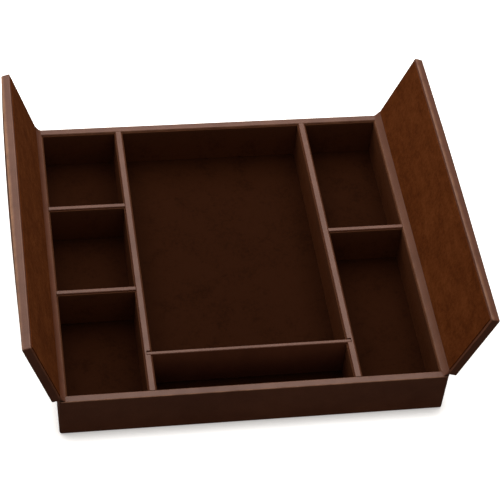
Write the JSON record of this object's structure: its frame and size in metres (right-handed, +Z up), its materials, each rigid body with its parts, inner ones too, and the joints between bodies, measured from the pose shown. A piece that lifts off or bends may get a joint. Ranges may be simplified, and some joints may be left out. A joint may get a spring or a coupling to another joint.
{
  "type": "desk organizer tray with side lids",
  "caption": "Shallow rectangular leatherette desk tray with lined compartments, a wide pad bay, a lift-out divider and a hinged lid over each side column.",
  "frame": {"origin": "centre of the tray's footprint, on the surface that it stands on", "axes": "+Z up, +Y from the user's side of the tray to its back, +X to the user's right"},
  "size_m": [0.5322, 0.435, 0.1589],
  "materials": {
    "leatherette": "fine-grained dark brown leatherette, satin",
    "lining": "smooth dark brown leatherette lining, satin",
    "lid_lining": "brushed warm brown lining with a mottled nap",
    "board": "raw fibreboard",
    "felt": "black felt"
  },
  "bodies": {
    "tray": {"base_felt": "felt", "base_board": "board", "front_wall_board": "board", "back_wall_board": "board", "left_wall_board": "board", "right_wall_board": "board", "left_divider_board": "board", "right_divider_board": "board", "left_rear_cross_board": "board", "left_front_cross_board": "board", "right_cross_board": "board", "front_wall_wrap": "leatherette", "back_wall_wrap": "leatherette", "left_wall_wrap": "leatherette", "right_wall_wrap": "leatherette", "left_divider_wrap": "leatherette", "right_divider_wrap": "leatherette", "left_rear_cross_wrap": "leatherette", "left_front_cross_wrap": "leatherette", "right_cross_wrap": "leatherette", "floor_lining_left": "lining", "floor_lining_centre": "lining", "floor_lining_right": "lining", "left_rear_lining_left": "lining", "left_rear_lining_right": "lining", "left_rear_lining_front": "lining", "left_rear_lining_back": "lining", "left_middle_lining_left": "lining", "left_middle_lining_right": "lining", "left_middle_lining_front": "lining", "left_middle_lining_back": "lining", "left_front_lining_left": "lining", "left_front_lining_right": "lining", "left_front_lining_front": "lining", "left_front_lining_back": "lining", "right_rear_lining_left": "lining", "right_rear_lining_right": "lining", "right_rear_lining_front": "lining", "right_rear_lining_back": "lining", "right_front_lining_left": "lining", "right_front_lining_right": "lining", "right_front_lining_front": "lining", "right_front_lining_back": "lining", "centre_rear_lining_left": "lining", "centre_rear_lining_right": "lining", "centre_front_lining_left": "lining", "centre_front_lining_right": "lining", "centre_rear_lining_back": "lining", "centre_front_lining_front": "lining", "left_hinge_strip": "leatherette", "right_hinge_strip": "leatherette"},
    "lift_divider": {"lift_divider_board": "board", "lift_divider_wrap": "leatherette"},
    "left_lid": {"left_lid_board": "board", "left_lid_wrap": "leatherette", "left_lid_lining": "lid_lining"},
    "right_lid": {"right_lid_board": "board", "right_lid_wrap": "leatherette", "right_lid_lining": "lid_lining"}
  },
  "joints": [
    {"name": "left_lid_hinge", "type": "hinge", "parent": "tray", "child": "left_lid", "pos_m": [-0.2238, 0, 0.0618], "axis": [0, 1, 0], "range_deg": [0, 108.4], "deforming": ["left_hinge_strip"]},
    {"name": "right_lid_hinge", "type": "hinge", "parent": "tray", "child": "right_lid", "pos_m": [0.2238, 0, 0.0618], "axis": [0, -1, 0], "range_deg": [0, 110.4], "deforming": ["right_hinge_strip"]},
    {"name": "divider_lift", "type": "slide", "parent": "tray", "child": "lift_divider", "axis": [0, 0, 1], "range_m": [0, 0.06]}
  ]
}
